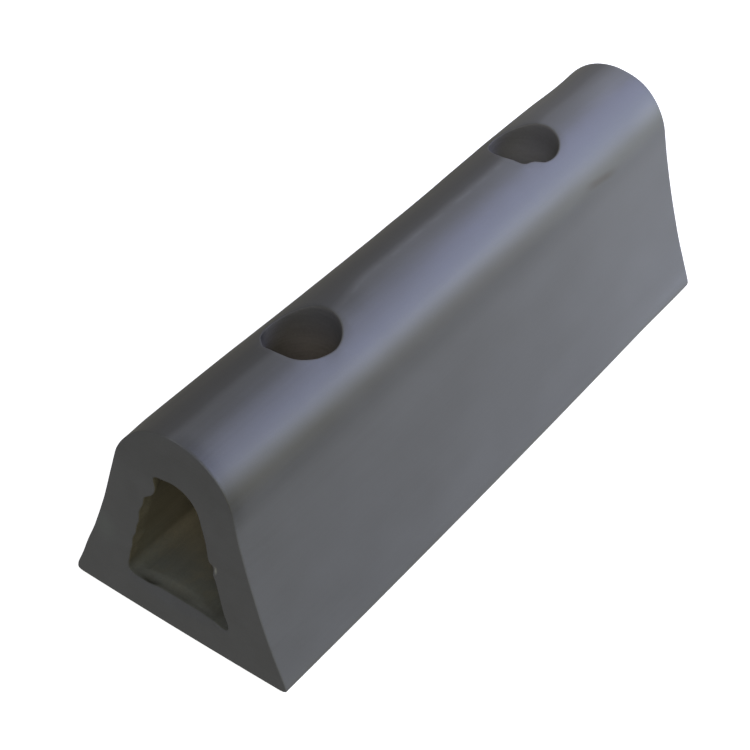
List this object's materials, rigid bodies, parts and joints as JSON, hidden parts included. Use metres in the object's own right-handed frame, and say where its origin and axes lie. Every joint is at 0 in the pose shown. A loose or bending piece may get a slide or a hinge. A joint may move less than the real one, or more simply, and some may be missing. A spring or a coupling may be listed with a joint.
{
  "type": "dock bumper strip",
  "caption": "Rubber dock bumper strip with a flat flared base, a round crown, a hollow core and wide access holes through the crown over the bolt holes in its base.",
  "frame": {"origin": "middle of the base face, on the floor the strip lies on", "axes": "+X along the strip, +Y across it, +Z from the base up to the crown"},
  "size_m": [0.3048, 0.1016, 0.0953],
  "materials": {
    "rubber": "dark grey rubber with a dull sheen, matt where it is cut"
  },
  "bodies": {
    "root": {"bumper_strip": "rubber"}
  },
  "joints": []
}
